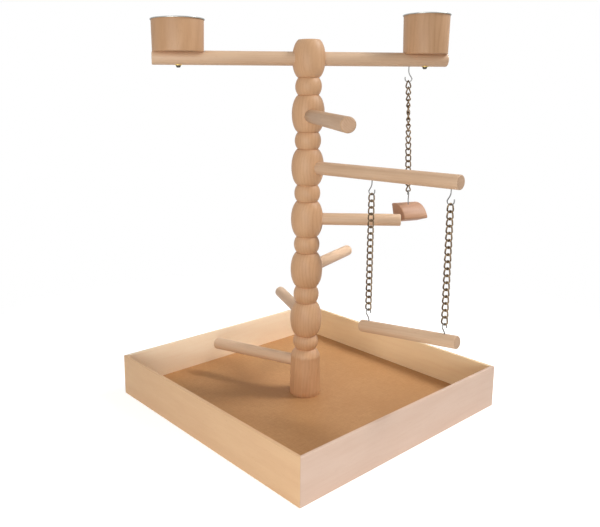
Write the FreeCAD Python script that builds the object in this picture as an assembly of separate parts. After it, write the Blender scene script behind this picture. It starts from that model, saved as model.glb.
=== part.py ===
import FreeCAD, Part
import math
import os

from FreeCAD import Vector

# A table-top play stand for a parrot: a shallow square tray, a turned post in its middle,
# six straight perches set round the post like a spiral stair, a crossbar that carries two
# feeding cups on top, a swing, and a hanging wooden toy. Millimetres, Z up. The origin is
# the middle of the tray's underside. An azimuth is counted from +X towards +Y.

# ---- tray ----
tray_side = 410.0
wall_height = 64.0
wall_thickness = 5.0
floor_thickness = 12.0
wall_edge = 0.8
glue_gap = 0.05

# ---- turned post: a faceted base, then a bead and a barrel, over and over ----
base_height = 74.0
base_foot_radius = 25.0
base_shoulder_radius = 23.2
base_shoulder_drop = 17.0
base_shoulder_bulge = 2.2
base_sides = 12
base_turn = 2.5
base_edge = 1.6
base_scallop = 0.5
repeats = 6
first_bead_height = 21.4
bead_height = 24.4
bead_radius = 19.4
barrel_height = 53.6
barrel_radius = 24.1
neck_radius = 15.3
barrel_fullness = 0.96

# ---- perches: azimuth, barrel (0 is the base), rise from its middle, reach, diameter, slope ----
perches = {
    "perch_front": (-123.2, 5, -2.7, 238.0, 19.0, -1.0),
    "perch_swing": (-87.0, 4, 0.0, 254.0, 19.0, 0.0),
    "perch_right": (-45.0, 3, 0.0, 139.0, 18.0, 0.0),
    "perch_back_right": (18.0, 2, 0.0, 149.0, 18.0, 0.0),
    "perch_back_left": (65.0, 1, 3.0, 138.0, 18.0, 0.0),
    "perch_low_left": (110.0, 0, 13.0, 167.0, 18.0, 0.0),
}
socket_depth = 16.0
socket_end_gap = 0.3
dowel_edge = 1.3

# ---- crossbar ----
crossbar_azimuth = -31.5
crossbar_diameter = 20.0
crossbar_arm_left = 223.6
crossbar_arm_right = 209.6
cup_seat_depth = 2.5

# ---- feeding cups: diameter at the bottom, at the top, height ----
cups = {"left": (72.0, 73.5, 44.0), "right": (65.0, 67.0, 56.0)}
cup_wall = 5.0
cup_bottom = 11.0
cup_edge = 0.8

# ---- steel bowls that lift out of the cups ----
bowl_sheet = 0.8
bowl_rim_overhang = 1.3
bowl_rim_turn_down = 0.7
bowl_side_gap = 0.4
bowl_floor_gap = 2.0
bowl_taper = 2.5

# ---- screws ----
post_screw_diameter = 6.0
post_screw_length = 60.0
post_screw_head_diameter = 12.0
post_screw_head_height = 3.6
post_screw_recess = 0.6
cup_screw_diameter = 4.0
cup_screw_head_diameter = 7.6
cup_screw_head_height = 3.2
cup_screw_head_edge = 1.6
cup_screw_bite = 8.0
cup_washer_diameter = 10.0
cup_washer_thickness = 0.9
screw_point = 4.0
screw_tip_radius = 0.4
screw_sides = 8
spot_face_depth = 0.5
spot_face_gap = 0.3
drill_gap = 0.1

# ---- wire hooks ----
hook_wire_diameter = 1.6
hook_bend_radius = 5.0
hook_bend_steps = 5
hook_slant = 8.0
hook_tip = 2.5
hook_bite = 11.0
hook_wire_sides = 5
hook_hole_sides = 6

# ---- curb chain ----
link_wire_diameter = 2.2
link_outer_width = 9.4
link_inner_length = 9.0
link_twist = 90.0
link_gap = 0.15
link_wire_sides = 4
link_bend_steps = 3

# ---- swing ----
swing_hook_inner = 119.6
swing_hook_outer = 241.0
swing_hook_neck = 19.7
swing_links_inner = 18
swing_links_outer = 17
swing_bar_diameter = 17.0
swing_bar_length = 153.0
swing_bar_inner_end = 13.8
swing_bar_neck_inner = 17.5
swing_bar_neck_outer = 13.9

# ---- hanging toy: a quarter of a round bar, whose line leans away from the end of a perch ----
toy_hook_place = 151.5
toy_hook_neck = 22.2
toy_hook_turn = -28.0
toy_links = 18
toy_link_turn = 11.5
toy_lean = 2.15
toy_block_radius = 29.5
toy_block_length = 42.5
toy_block_azimuth = -17.9
toy_block_roll = 16.0
toy_block_slope = -2.2
toy_block_overhang = 1.5
toy_block_edge = 1.8
toy_block_neck = 21.6
toy_block_hook_inset = 9.5

UP = Vector(0, 0, 1)
OUT = Vector(1, 0, 0)
ORIGIN = Vector(0, 0, 0)


# ---- what follows from the sizes ----


def section_corner_radius(wire_diameter, sides):
    """Corner radius of a many-sided wire section that has the round section's area."""
    return wire_diameter / 2 * math.sqrt(2 * math.pi / (sides * math.sin(2 * math.pi / sides)))


def section_flat(wire_diameter, sides):
    """Distance from a wire's middle line to the flats of its section."""
    return section_corner_radius(wire_diameter, sides) * math.cos(math.pi / sides)


def bend_crown(radius, steps):
    """Height of the flat in the middle of a half circle that is drawn in an odd number of steps."""
    return radius * math.cos(math.pi / (2 * steps))


def barrel_middle(barrel):
    """Height of a barrel's middle, or of the base's middle for number 0."""
    if barrel == 0:
        return floor_thickness + base_height / 2
    return base_top + first_bead_height - bead_height + barrel * pitch - barrel_height / 2


def perch_height(name):
    """Height of a perch's middle line where it meets the post's axis."""
    azimuth, barrel, rise, reach, diameter, slope = perches[name]
    return barrel_middle(barrel) + rise


pitch = bead_height + barrel_height
base_top = floor_thickness + base_height
crossbar_height = barrel_middle(repeats)
crossbar_underside = crossbar_height - crossbar_diameter / 2
cup_seat = crossbar_height + crossbar_diameter / 2 - cup_seat_depth
cup_radius = {side: max(bottom, top) / 2 for side, (bottom, top, height) in cups.items()}
cup_places = {
    "left": cup_radius["left"] - crossbar_arm_left,
    "right": crossbar_arm_right - cup_radius["right"],
}

link_flat = section_flat(link_wire_diameter, link_wire_sides)
hook_flat = section_flat(hook_wire_diameter, hook_wire_sides)
link_to_link = 2 * link_flat + link_gap
link_to_hook = link_flat + hook_flat + link_gap
link_middle_length = link_inner_length + link_wire_diameter
link_pitch = link_middle_length - link_to_link

swing_azimuth = perches["perch_swing"][0]
swing_perch_underside = perch_height("perch_swing") - perches["perch_swing"][4] / 2
swing_crown = swing_perch_underside - swing_hook_neck
toy_crown = crossbar_underside - toy_hook_neck


def chain_drop(links):
    """From the hook that a chain hangs on to the hook that hangs in its last link, crown to crown."""
    return (links - 1) * link_pitch + link_middle_length - 2 * link_to_hook


swing_bar_crown_inner = swing_crown - chain_drop(swing_links_inner)
swing_bar_crown_outer = swing_crown - chain_drop(swing_links_outer)
crowns_apart = math.hypot(swing_hook_outer - swing_hook_inner, swing_bar_crown_outer - swing_bar_crown_inner)
crown_line_slope = math.degrees(
    math.atan2(swing_bar_crown_outer - swing_bar_crown_inner, swing_hook_outer - swing_hook_inner)
)
neck_slope = math.degrees(math.asin((swing_bar_neck_outer - swing_bar_neck_inner) / crowns_apart))
swing_bar_slope = crown_line_slope - neck_slope
swing_bar_hook_spacing = crowns_apart * math.cos(math.radians(neck_slope))

toy_hook_azimuth = crossbar_azimuth + toy_hook_turn
toy_block_hook_azimuth = toy_hook_azimuth + (toy_links - 1) * toy_link_turn + 90
toy_lean_axis_azimuth = perches["perch_right"][0] - 90
# height of the block's curved top where its hook enters
toy_hook_surface = math.sqrt(toy_block_radius**2 - toy_block_hook_inset**2)


# ---- helpers ----


def turned(shape, azimuth, slope=0.0):
    """The shape sloped up along +X and then turned about Z, both about the origin."""
    result = shape.copy()
    result.rotate(ORIGIN, Vector(0, -1, 0), slope)
    result.rotate(ORIGIN, UP, azimuth)
    return result


def moved(shape, x=0.0, y=0.0, z=0.0):
    result = shape.copy()
    result.translate(Vector(x, y, z))
    return result


def at_azimuth(azimuth, reach, height):
    angle = math.radians(azimuth)
    return Vector(reach * math.cos(angle), reach * math.sin(angle), height)


def revolved(edges):
    """A solid turned about the Z axis from a closed outline in the XZ plane."""
    return Part.Face(Part.Wire(edges)).revolve(ORIGIN, UP, 360)


def outline(points):
    """The closed outline through (radius, height) points in the XZ plane."""
    corners = [Vector(radius, 0, height) for radius, height in points]
    return [Part.LineSegment(a, b).toShape() for a, b in zip(corners, corners[1:] + corners[:1])]


def ring(radius, height, sides, turn=0.0):
    """The corners of a level many-sided ring round the Z axis."""
    return [at_azimuth(turn + 360 / sides * i, radius, height) for i in range(sides)]


def skinned(rings, closed=False, flat_sides=True):
    """A solid with flat faces between rings of points, each joined to the next.

    The last ring is joined to the first if closed, and else both end in a flat face. The four
    points of each side have to lie in one plane, unless its two halves are separate faces.
    """
    count = len(rings[0])
    outlines = []
    for i in range(len(rings) if closed else len(rings) - 1):
        here, there = rings[i], rings[(i + 1) % len(rings)]
        for j in range(count):
            k = (j + 1) % count
            if flat_sides:
                outlines.append([here[j], here[k], there[k], there[j]])
            else:
                outlines.append([here[j], here[k], there[k]])
                outlines.append([here[j], there[k], there[j]])
    if not closed:
        outlines.extend([rings[0], rings[-1]])
    faces = [Part.Face(Part.makePolygon(corners + corners[:1])) for corners in outlines]
    skin = Part.makeShell(faces)
    skin.sewShape()
    solid = Part.makeSolid(Part.Shell(skin.Faces))
    if solid.Volume < 0:
        solid.reverse()
    return solid


def many_sided(points, sides, closed=False):
    """A solid through (radius, height) points that is many-sided round the Z axis."""
    return skinned([ring(radius, height, sides) for radius, height in points], closed)


def dowel(diameter, start, end, eased_ends=2):
    """A round bar along X, with the edge of its far end eased, or of both ends."""
    bar = Part.makeCylinder(diameter / 2, end - start, OUT * start, OUT)
    rims = [edge for edge in bar.Edges if edge.Curve.TypeId == "Part::GeomCircle"]
    rims.sort(key=lambda edge: edge.Curve.Center.x, reverse=True)
    return bar.makeChamfer(dowel_edge, rims[:eased_ends])


# ---- tray ----


def tray_wall(azimuth):
    """One side of the tray, mitred at both ends, with its long top edges eased."""
    half = tray_side / 2
    inside = half - wall_thickness
    corners = [Vector(half, -half), Vector(half, half), Vector(inside, inside), Vector(inside, -inside)]
    board = Part.Face(Part.makePolygon(corners + corners[:1])).extrude(UP * wall_height)
    long_top_edges = [
        edge
        for edge in board.Edges
        if min(v.Z for v in edge.Vertexes) > wall_height / 2 and edge.Length > tray_side / 2
    ]
    return turned(board.makeChamfer(wall_edge, long_top_edges), azimuth)


def tray_floor():
    """The thick board between the walls, drilled and countersunk from below for the post's screw."""
    side = tray_side - 2 * (wall_thickness + glue_gap)
    board = Part.makeBox(side, side, floor_thickness, Vector(-side / 2, -side / 2, 0))
    return board.cut(post_screw_hole())


# ---- screws ----


def post_screw():
    """The countersunk screw that holds the post down, its head just above the tray's underside."""
    shank = post_screw_diameter / 2
    tip = post_screw_recess + post_screw_length
    points = [
        (post_screw_head_diameter / 2, post_screw_recess),
        (shank, post_screw_recess + post_screw_head_height),
        (shank, tip - screw_point),
        (screw_tip_radius, tip),
    ]
    return many_sided(points, screw_sides)


def post_screw_hole():
    shank = post_screw_diameter / 2 + drill_gap
    head = post_screw_head_diameter / 2 + drill_gap
    points = [
        (head, 0),
        (head, post_screw_recess),
        (shank, post_screw_recess + post_screw_head_height),
        (shank, post_screw_recess + post_screw_length + drill_gap),
    ]
    return many_sided(points, screw_sides)


def cup_screw():
    """A round-headed screw that points up, with the top of its washer at the origin."""
    head = cup_screw_head_diameter / 2
    shank = cup_screw_diameter / 2
    seat = -cup_washer_thickness
    tip = cup_seat - (crossbar_underside + spot_face_depth) + cup_screw_bite
    points = [
        (head - cup_screw_head_edge, seat - cup_screw_head_height),
        (head, seat - cup_screw_head_height + cup_screw_head_edge),
        (head, seat),
        (shank, seat),
        (shank, tip - screw_point),
        (screw_tip_radius, tip),
    ]
    return many_sided(points, screw_sides)


def cup_screw_hole(depth):
    """What is drilled for a cup's screw, up from the origin."""
    radius = cup_screw_diameter / 2 + drill_gap
    return many_sided([(radius, 0), (radius, depth)], screw_sides)


def cup_washer():
    """The washer under a cup's screw, with its top at the origin."""
    outer = cup_washer_diameter / 2
    inner = cup_screw_diameter / 2 + drill_gap
    points = [(inner, -cup_washer_thickness), (outer, -cup_washer_thickness), (outer, 0), (inner, 0)]
    return many_sided(points, screw_sides, closed=True)


# ---- post ----


def bead_outline(foot, height):
    """The side of one bead, an arc from groove to groove."""
    ends = [Vector(neck_radius, 0, foot), Vector(neck_radius, 0, foot + height)]
    middle = Vector(bead_radius, 0, foot + height / 2)
    return Part.Arc(ends[0], middle, ends[1]).toShape()


def barrel_outline(foot):
    """The side of one barrel: most of half an ellipse, cut off at the grooves above and below it."""
    half_long = barrel_height / 2 / barrel_fullness
    half_short = (barrel_radius - neck_radius) / (1 - math.sqrt(1 - barrel_fullness**2))
    centre = Vector(barrel_radius - half_short, 0, foot + barrel_height / 2)
    ellipse = Part.Ellipse(centre + UP * half_long, centre + OUT * half_short, centre)
    cut_off = math.acos(barrel_fullness)
    return Part.ArcOfEllipse(ellipse, cut_off, math.pi - cut_off).toShape()


def post_base():
    """The foot of the post: a slightly tapered twelve-sided block under a turned shoulder."""
    shoulder_foot = base_top - base_shoulder_drop
    levels = [
        (base_foot_radius - base_edge, floor_thickness),
        (base_foot_radius, floor_thickness + base_edge),
        (base_shoulder_radius, shoulder_foot),
        (base_shoulder_radius, base_top),
    ]
    block = skinned([ring(radius, height, base_sides, base_turn) for radius, height in levels])
    arc_foot = base_shoulder_radius + base_scallop
    shoulder = Part.Arc(
        Vector(neck_radius, 0, base_top),
        Vector(arc_foot - base_shoulder_bulge, 0, base_top - base_shoulder_drop / 2),
        Vector(arc_foot, 0, shoulder_foot),
    )
    below = outline(
        [
            (arc_foot, shoulder_foot),
            (base_foot_radius + base_scallop, shoulder_foot),
            (base_foot_radius + base_scallop, floor_thickness),
            (0, floor_thickness),
            (0, base_top),
            (neck_radius, base_top),
        ]
    )
    return block.common(revolved([shoulder.toShape()] + below[:-1]))


def post_shaft():
    """Everything of the post above its base, turned from one outline."""
    edges = []
    foot = base_top
    for number in range(repeats):
        bead = first_bead_height if number == 0 else bead_height
        edges.append(bead_outline(foot, bead))
        edges.append(barrel_outline(foot + bead))
        foot += bead + barrel_height
    axis_side = [(neck_radius, foot), (0, foot), (0, base_top), (neck_radius, base_top)]
    return revolved(edges + outline(axis_side)[:-1])


def post():
    """The whole post, with its sockets for the perches, the crossbar's hole and the screw's."""
    solid = post_base().fuse(post_shaft())
    for name, (azimuth, barrel, rise, reach, diameter, slope) in perches.items():
        bottom = barrel_radius - socket_depth - socket_end_gap
        socket = Part.makeCylinder(diameter / 2 + glue_gap, 2 * barrel_radius, OUT * bottom, OUT)
        solid = solid.cut(at_perch(socket, name))
    through = Part.makeCylinder(
        crossbar_diameter / 2 + glue_gap, 4 * barrel_radius, OUT * (-2 * barrel_radius), OUT
    )
    solid = solid.cut(turned(moved(through, z=crossbar_height), crossbar_azimuth))
    return solid.cut(post_screw_hole())


# ---- perches and crossbar ----


def at_perch(shape, name):
    """From a perch's own frame, where its middle line is the X axis, to its place on the post."""
    azimuth, barrel, rise, reach, diameter, slope = perches[name]
    return turned(moved(turned(shape, 0, slope), z=perch_height(name)), azimuth)


def perch(name):
    azimuth, barrel, rise, reach, diameter, slope = perches[name]
    bar = dowel(diameter, barrel_radius - socket_depth, reach, 1)
    if name == "perch_swing":
        for place in (swing_hook_inner, swing_hook_outer):
            bar = bar.cut(moved(hook_hole(), place, 0, -diameter / 2))
    return at_perch(bar, name)


def crossbar():
    """The long top bar: a flat seat for a cup at each end, a screw hole under each, and a hook's hole."""
    bar = moved(dowel(crossbar_diameter, -crossbar_arm_left, crossbar_arm_right), z=crossbar_height)
    for side, place in cup_places.items():
        radius = cup_radius[side]
        seat = Part.makeBox(4 * radius, crossbar_diameter, crossbar_diameter)
        start = place - radius if side == "right" else place - 3 * radius
        bar = bar.cut(moved(seat, start, -crossbar_diameter / 2, cup_seat))
        bar = bar.cut(moved(cup_screw_hole(crossbar_diameter), place, 0, crossbar_underside))
        spot_radius = cup_washer_diameter / 2 + spot_face_gap
        spot_face = many_sided([(spot_radius, 0), (spot_radius, spot_face_depth)], screw_sides)
        bar = bar.cut(moved(spot_face, place, 0, crossbar_underside))
    bar = bar.cut(moved(hook_hole(), toy_hook_place, 0, crossbar_underside))
    return turned(bar, crossbar_azimuth)


def on_crossbar(shape, place, height):
    return turned(moved(shape, place, 0, height), crossbar_azimuth)


# ---- cups and bowls ----


def cup(side):
    """A turned wooden cup, standing on the origin."""
    bottom_diameter, top_diameter, height = cups[side]
    foot, top = bottom_diameter / 2, top_diameter / 2
    solid = revolved(
        outline(
            [
                (0, 0),
                (foot, 0),
                (top, height - cup_edge),
                (top - cup_edge, height),
                (top - cup_wall, height),
                (top - cup_wall, cup_bottom),
                (0, cup_bottom),
            ]
        )
    )
    return solid.cut(cup_screw_hole(cup_screw_bite + drill_gap))


def bowl(side):
    """The steel bowl in a cup: its rim lies on the cup's top edge and turns down outside it."""
    bottom_diameter, top_diameter, height = cups[side]
    rim = top_diameter / 2 + bowl_rim_overhang
    side_top = top_diameter / 2 - cup_wall - bowl_side_gap
    side_foot = side_top - bowl_taper
    foot = cup_bottom + bowl_floor_gap
    sheet = bowl_sheet
    return revolved(
        outline(
            [
                (0, foot),
                (side_foot, foot),
                (side_top, height),
                (rim - sheet, height),
                (rim, height - bowl_rim_turn_down),
                (rim, height + sheet),
                (side_top - sheet, height + sheet),
                (side_foot - sheet, foot + sheet),
                (0, foot + sheet),
            ]
        )
    )


# ---- bent wire: hooks and chain links ----


def bent_wire(path, inner_sides, diameter, sides, closed):
    """A wire of many-sided section along a path of points.

    inner_sides holds a direction for each point. A flat of the section faces that way, so that
    wires which hang in each other meet on their flats.
    """
    corner_radius = section_corner_radius(diameter, sides)
    last = len(path) - 1
    rings = []
    for i, point in enumerate(path):
        before = path[i - 1] if closed or i > 0 else point
        after = path[(i + 1) % len(path)] if closed or i < last else point
        along = (after - before).normalize()
        inner = inner_sides[i] - along * inner_sides[i].dot(along)
        inner.normalize()
        side = along.cross(inner)
        angles = [2 * math.pi * (j + 0.5) / sides for j in range(sides)]
        rings.append([point + (inner * math.cos(a) + side * math.sin(a)) * corner_radius for a in angles])
    return skinned(rings, closed, flat_sides=False)


def curb_link():
    """One oval link, twisted a quarter turn from its upper end to its lower end.

    Because of the twist, every link of a chain faces the same way. The link's face is along X,
    the crown of its upper end is turned half the twist further, and that crown is at the origin.
    """
    bend_radius = (link_outer_width - link_wire_diameter) / 2
    half = link_middle_length / 2
    bend_centre = half - bend_crown(bend_radius, link_bend_steps)
    path, inner_sides = [], []
    for end in (1, -1):
        for step in range(link_bend_steps + 1):
            angle = math.pi * step / link_bend_steps
            across = end * bend_radius * math.cos(angle)
            height = end * (bend_centre + bend_radius * math.sin(angle))
            point = at_azimuth(link_twist / 2 * height / half, across, height - half)
            path.append(point)
            inner_sides.append(Vector(0, 0, end * bend_centre - half) - point)
    return bent_wire(path, inner_sides, link_wire_diameter, link_wire_sides, closed=True)


def chain(links, hook_azimuth, turn_per_link=0.0):
    """Links that hang from a hook whose crown is at the origin and lies along hook_azimuth."""
    link = curb_link()
    facing = hook_azimuth + 90 - link_twist / 2
    hanging = []
    for number in range(links):
        piece = turned(link, facing + number * turn_per_link)
        hanging.append(moved(piece, z=link_to_hook - number * link_pitch))
    return Part.makeCompound(hanging)


def wire_hook(neck):
    """An open hook that points down from wood at Z = neck, bent in the XZ plane.

    Its wire leaves the wood, slants out to +X and turns back in a half circle, whose crown is
    at the origin.
    """
    bend_centre = UP * bend_crown(hook_bend_radius, hook_bend_steps)
    path = [UP * (neck + hook_bite), UP * (bend_centre.z + hook_slant)]
    for step in range(hook_bend_steps + 1):
        angle = math.pi * step / hook_bend_steps
        path.append(bend_centre + Vector(math.cos(angle), 0, -math.sin(angle)) * hook_bend_radius)
    path.append(path[-1] + UP * hook_tip)
    inner_sides = [bend_centre - point for point in path]
    inner_sides[0] = inner_sides[1] = Vector(-1, 0, 0)
    return bent_wire(path, inner_sides, hook_wire_diameter, hook_wire_sides, closed=False)


def upturned(shape):
    """The shape turned upside down about X."""
    result = shape.copy()
    result.rotate(ORIGIN, OUT, 180)
    return result


def hook_hole():
    """What is drilled for a hook, up into wood whose surface is at the origin."""
    flat = section_corner_radius(hook_wire_diameter, hook_wire_sides) + drill_gap
    radius = flat / math.cos(math.pi / hook_hole_sides)
    return many_sided([(radius, -1), (radius, hook_bite + drill_gap)], hook_hole_sides)


# ---- swing ----


def in_swing(shape, place, height):
    return turned(moved(shape, place, 0, height), swing_azimuth)


def swing_hooks():
    """The two hooks under the long perch, which slant towards the post."""
    hook = turned(wire_hook(swing_hook_neck), 180)
    return [in_swing(hook, place, swing_crown) for place in (swing_hook_inner, swing_hook_outer)]


def swing_bar_frame(shape):
    """From the swing bar's own frame, where it lies level and its inner hook's crown is at the origin."""
    return in_swing(turned(shape, 0, swing_bar_slope), swing_hook_inner, swing_bar_crown_inner)


swing_bar_hooks_at = ((0.0, swing_bar_neck_inner), (swing_bar_hook_spacing, swing_bar_neck_outer))


def swing_bar():
    axis = -swing_bar_neck_inner - swing_bar_diameter / 2
    start = -swing_bar_inner_end
    bar = moved(dowel(swing_bar_diameter, start, start + swing_bar_length), z=axis)
    for place, neck in swing_bar_hooks_at:
        bar = bar.cut(moved(upturned(hook_hole()), place, 0, -swing_bar_neck_inner))
    return swing_bar_frame(bar)


def swing_bar_hooks():
    """The two hooks in the swing bar, turned square to it, as the chains' last links need them."""
    hooks = []
    for place, neck in swing_bar_hooks_at:
        hook = turned(upturned(wire_hook(neck)), -90)
        hooks.append(swing_bar_frame(moved(hook, place, 0, neck - swing_bar_neck_inner)))
    return hooks


# ---- hanging toy ----


def under_toy_hook(shape):
    """From the origin to the crown of the hook that the toy's line hangs on."""
    place = at_azimuth(crossbar_azimuth, toy_hook_place, toy_crown)
    return moved(shape, place.x, place.y, place.z)


def in_toy_line(shape, azimuth, drop):
    """To a place on the leaning line, so far down from the crown that it hangs on."""
    leaning = moved(turned(shape, azimuth), z=-drop)
    leaning.rotate(ORIGIN, at_azimuth(toy_lean_axis_azimuth, 1, 0), toy_lean)
    return under_toy_hook(leaning)


def toy_block():
    """A quarter of a round bar with all its edges eased, rolled back a little from its flat side."""
    radius = toy_block_radius
    corner, low, high = ORIGIN, Vector(0, -radius, 0), UP * radius
    middle = Vector(0, -radius, radius) * math.sqrt(0.5)
    section = Part.Wire(
        [
            Part.LineSegment(corner, low).toShape(),
            Part.Arc(low, middle, high).toShape(),
            Part.LineSegment(high, corner).toShape(),
        ]
    )
    start = toy_block_overhang - toy_block_length / 2
    block = moved(Part.Face(section).extrude(OUT * toy_block_length), start)
    block = block.makeChamfer(toy_block_edge, block.Edges)
    block.rotate(ORIGIN, OUT, -toy_block_roll)
    block = turned(block, 0, toy_block_slope)
    block = moved(block, 0, toy_block_hook_inset, -toy_block_neck - toy_hook_surface)
    block = turned(block, toy_block_azimuth)
    return in_toy_line(block.cut(moved(upturned(hook_hole()), z=-toy_block_neck)), 0, chain_drop(toy_links))


# ---- the whole stand ----


def stand():
    """Every piece by its name."""
    pieces = {
        "wall_back_right": tray_wall(0),
        "wall_back_left": tray_wall(90),
        "wall_front_left": tray_wall(180),
        "wall_front_right": tray_wall(270),
        "floor_board": tray_floor(),
        "post": post(),
        "post_screw": post_screw(),
        "crossbar": crossbar(),
    }
    for name in perches:
        pieces[name] = perch(name)
    for side, place in cup_places.items():
        pieces["cup_" + side] = on_crossbar(cup(side), place, cup_seat)
        pieces["bowl_" + side] = on_crossbar(bowl(side), place, cup_seat)
    washer_top = crossbar_underside + spot_face_depth
    places = cup_places.values()
    pieces["cup_screws"] = Part.makeCompound([on_crossbar(cup_screw(), p, washer_top) for p in places])
    pieces["cup_washers"] = Part.makeCompound([on_crossbar(cup_washer(), p, washer_top) for p in places])

    pieces["swing_hook_inner"], pieces["swing_hook_outer"] = swing_hooks()
    inner_chain = chain(swing_links_inner, 0)
    outer_chain = chain(swing_links_outer, 0)
    pieces["swing_chain_inner"] = in_swing(inner_chain, swing_hook_inner, swing_crown)
    pieces["swing_chain_outer"] = in_swing(outer_chain, swing_hook_outer, swing_crown)
    pieces["swing_bar"] = swing_bar()
    pieces["swing_bar_hook_inner"], pieces["swing_bar_hook_outer"] = swing_bar_hooks()

    pieces["toy_hook"] = under_toy_hook(turned(wire_hook(toy_hook_neck), toy_hook_azimuth))
    pieces["toy_chain"] = in_toy_line(chain(toy_links, toy_hook_azimuth, toy_link_turn), 0, 0)
    pieces["toy_block"] = toy_block()
    block_hook = upturned(wire_hook(toy_block_neck))
    pieces["toy_block_hook"] = in_toy_line(block_hook, toy_block_hook_azimuth, chain_drop(toy_links))
    return pieces


os.makedirs("parts", exist_ok=True)
for node, shape in stand().items():
    shape.exportStep("parts/" + node + ".step")
    print(node, len(shape.Solids), "valid" if shape.isValid() else "NOT VALID", round(shape.Volume, 1))
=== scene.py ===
import math
import random
from collections import namedtuple

import bmesh
import bpy
import numpy as np
from mathutils import Matrix, Vector


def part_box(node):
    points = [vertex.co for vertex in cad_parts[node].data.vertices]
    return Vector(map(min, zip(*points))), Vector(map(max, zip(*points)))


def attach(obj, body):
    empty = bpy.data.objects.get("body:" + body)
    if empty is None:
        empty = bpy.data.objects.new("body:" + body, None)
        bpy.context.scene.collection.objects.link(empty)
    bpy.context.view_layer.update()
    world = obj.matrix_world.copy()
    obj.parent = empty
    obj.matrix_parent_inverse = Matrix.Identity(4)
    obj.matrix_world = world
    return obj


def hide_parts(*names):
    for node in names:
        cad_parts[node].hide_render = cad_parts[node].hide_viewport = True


# The looks of a parrot's play stand: a square tray, a turned post with perches, a crossbar with
# two feeding cups, a swing on two chains and a hanging toy. Sizes are in millimetres and angles
# in degrees; everything is turned into metres where its mesh is made.

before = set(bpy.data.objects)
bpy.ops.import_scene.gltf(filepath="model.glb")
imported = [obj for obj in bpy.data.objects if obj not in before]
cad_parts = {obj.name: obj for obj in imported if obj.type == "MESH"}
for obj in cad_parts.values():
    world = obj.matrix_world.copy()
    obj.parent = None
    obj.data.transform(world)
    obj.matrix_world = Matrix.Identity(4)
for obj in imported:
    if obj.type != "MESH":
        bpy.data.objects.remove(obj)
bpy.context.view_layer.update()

MM = 0.001
UP = Vector((0, 0, 1))

# ---- tray ----
TRAY_SIDE = 410
WALL_HEIGHT = 64
WALL_THICKNESS = 5
WALL_EDGE = 0.9
WALL_FOOT_EDGE = 0.3
MITRE_GAP = 0.04
FLOOR_THICKNESS = 12
WALL_FACINGS = {
    "wall_back_right": 0,
    "wall_back_left": 90,
    "wall_front_left": 180,
    "wall_front_right": 270,
}

# ---- post ----
BASE_HEIGHT = 74
BASE_FOOT_RADIUS = 25
BASE_SHOULDER_RADIUS = 23.2
BASE_SHOULDER_DROP = 17
BASE_SHOULDER_BULGE = 2.2
BASE_SIDES = 12
BASE_TURN = 2.5
BASE_EDGE = 1.6
BASE_SCALLOP = 0.5
FACET_BLEND = 0.12
FACET_BLEND_REACH = 30  # in blends; beyond it the smaller radius counts alone
REPEATS = 6
FIRST_BEAD_HEIGHT = 21.4
BEAD_HEIGHT = 24.4
BEAD_RADIUS = 19.4
BARREL_HEIGHT = 53.6
BARREL_RADIUS = 24.1
NECK_RADIUS = 15.3
BARREL_FULLNESS = 0.96
SOCKET_GAP = 0.12
SOCKET_END_GAP = 0.3
PAST_POST = 60  # how far the cutters of sockets reach

# ---- the screw from below into the post, and its hole, as (radius, height) points ----
POST_SCREW_HEAD = 0.6
POST_SCREW = [(0, 0.6), (5.4, 0.6), (6, 0.75), (3, 4.2), (3, 56.6), (0.4, 60.6), (0, 60.6)]
POST_SCREW_HOLE = [(0, -1), (6.15, -1), (6.15, 0.6), (3.15, 4.2), (3.15, 30), (0, 30)]
RECESS_DEPTH = 1.6
RECESS_ARM = (0.58, 0.3)  # half the width of the cross's arms, below and at its end

# ---- bars: the azimuth that each points in, and its slope ----
PERCHES = {
    "perch_front": (-123.2, -1),
    "perch_swing": (-87, 0),
    "perch_right": (-45, 0),
    "perch_back_right": (18, 0),
    "perch_back_left": (65, 0),
    "perch_low_left": (110, 0),
}
CROSSBAR_AZIMUTH = -31.5
SWING_AZIMUTH = PERCHES["perch_swing"][0]
DOWEL_EDGE = 1.5
BURIED_EDGE = 0.2
SOFT_ENDS = {"perch_front": 3, "perch_back_left": 2, "perch_low_left": 2.4}
CUP_SEAT_DEPTH = 2.5

# ---- cups, bowls and their screws; a cup's sizes are its foot's diameter, its rim's and its height ----
CUP_PLACES = {"left": -186.85, "right": 176.1}
CUP_SIZES = {"left": (72, 73.5, 44), "right": (65, 67, 56)}
CUP_SEGMENTS = 128
SMALL_SEGMENTS = 48
CUP_WALL = 5
CUP_BOTTOM = 11
CUP_EDGE = 0.9
BOWL_SHEET = 0.8
BOWL_OVERHANG = 1.3
BOWL_TURN_DOWN = 0.7
BOWL_SIDE_GAP = 0.4
BOWL_FLOOR_GAP = 2
BOWL_TAPER = 2.5
BOWL_FOOT_ROUND = 5
BOWL_INNER_ROUND = 1.2
SPOT_FACE_DEPTH = 0.5
SPOT_FACE_RADIUS = 5.3
WASHER_THICKNESS = 0.9
WASHER_BORE = 2.1
WASHER_RADIUS = 5
CUP_SCREW_RADIUS = 2
CUP_SCREW_HEAD = -4.1  # height of the head's lower end, from the washer's top
CUP_SCREW_POINT = 25

# ---- hooks and chains; LINK_TO_LINK and LINK_TO_HOOK are from crown to crown ----
HOOK_WIRE = 1.5
HOOK_BEND = 5
HOOK_SLANT = 8
HOOK_TIP = 2.5
HOOK_BITE = 11
LINK_WIRE = 2.1
LINK_WIDTH = 9.35
LINK_MIDDLE_LENGTH = 11.2
LINK_TO_LINK = 2.0997
LINK_TO_HOOK = 1.8689
LINK_TWIST = 90
LINK_PITCH = LINK_MIDDLE_LENGTH - LINK_TO_LINK

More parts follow.
